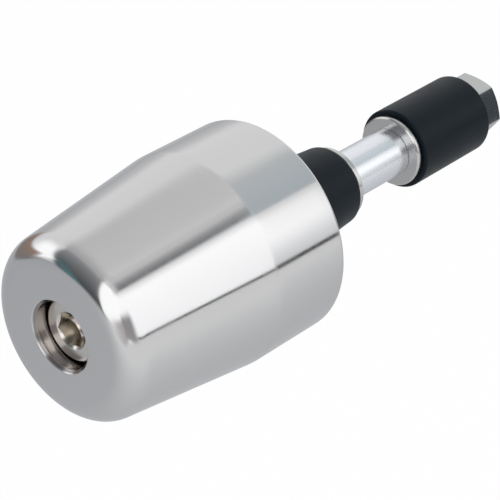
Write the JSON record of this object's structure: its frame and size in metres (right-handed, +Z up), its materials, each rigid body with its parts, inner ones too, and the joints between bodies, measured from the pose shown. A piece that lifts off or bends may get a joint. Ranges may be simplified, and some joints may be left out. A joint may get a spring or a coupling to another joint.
{
  "type": "expanding bar end weight",
  "caption": "Turned stainless bar end weight with a rounded nose and taper, held in a handlebar tube by a screw that squeezes a rubber expander plug.",
  "frame": {"origin": "centre of the weight's flat rear face, where the end of the bar meets it", "axes": "+X along the screw, from the nose of the weight into the bar; +Z up as fitted to a level bar"},
  "size_m": [0.0982, 0.035, 0.035],
  "materials": {
    "polished_stainless": "turned and polished, with fine rings left by the tool",
    "screw_stainless": "plain bright stainless",
    "black_rubber": "smooth moulded, satin",
    "washer_steel": "bright, bevelled rim",
    "spacer_aluminium": "drawn tube, bright satin",
    "nut_steel": "bright zinc"
  },
  "bodies": {
    "weight": {"weight_body": "polished_stainless", "root_bush": "black_rubber"},
    "screw": {"cap_screw": "screw_stainless"},
    "stack": {"bush_washer": "washer_steel", "spacer_tube": "spacer_aluminium", "sleeve_washer": "washer_steel", "expander_sleeve": "black_rubber"},
    "nut": {"hex_nut": "nut_steel"}
  },
  "joints": [
    {"name": "screw_turn", "type": "hinge", "parent": "weight", "child": "screw", "pos_m": [0, 0, 0], "axis": [1, 0, 0], "range_deg": [0, 1350]},
    {"name": "stack_shift", "type": "slide", "parent": "weight", "child": "stack", "axis": [-1, 0, 0], "range_m": [0, 0.00187], "deforming": ["root_bush"]},
    {"name": "nut_draw", "type": "slide", "parent": "stack", "child": "nut", "axis": [-1, 0, 0], "range_m": [0, 0.00187], "deforming": ["expander_sleeve"]}
  ],
  "couplings": [
    {"joint": "stack_shift", "follows": "screw_turn", "m_per_rad": 0.000079577},
    {"joint": "nut_draw", "follows": "screw_turn", "m_per_rad": 0.000079577}
  ]
}
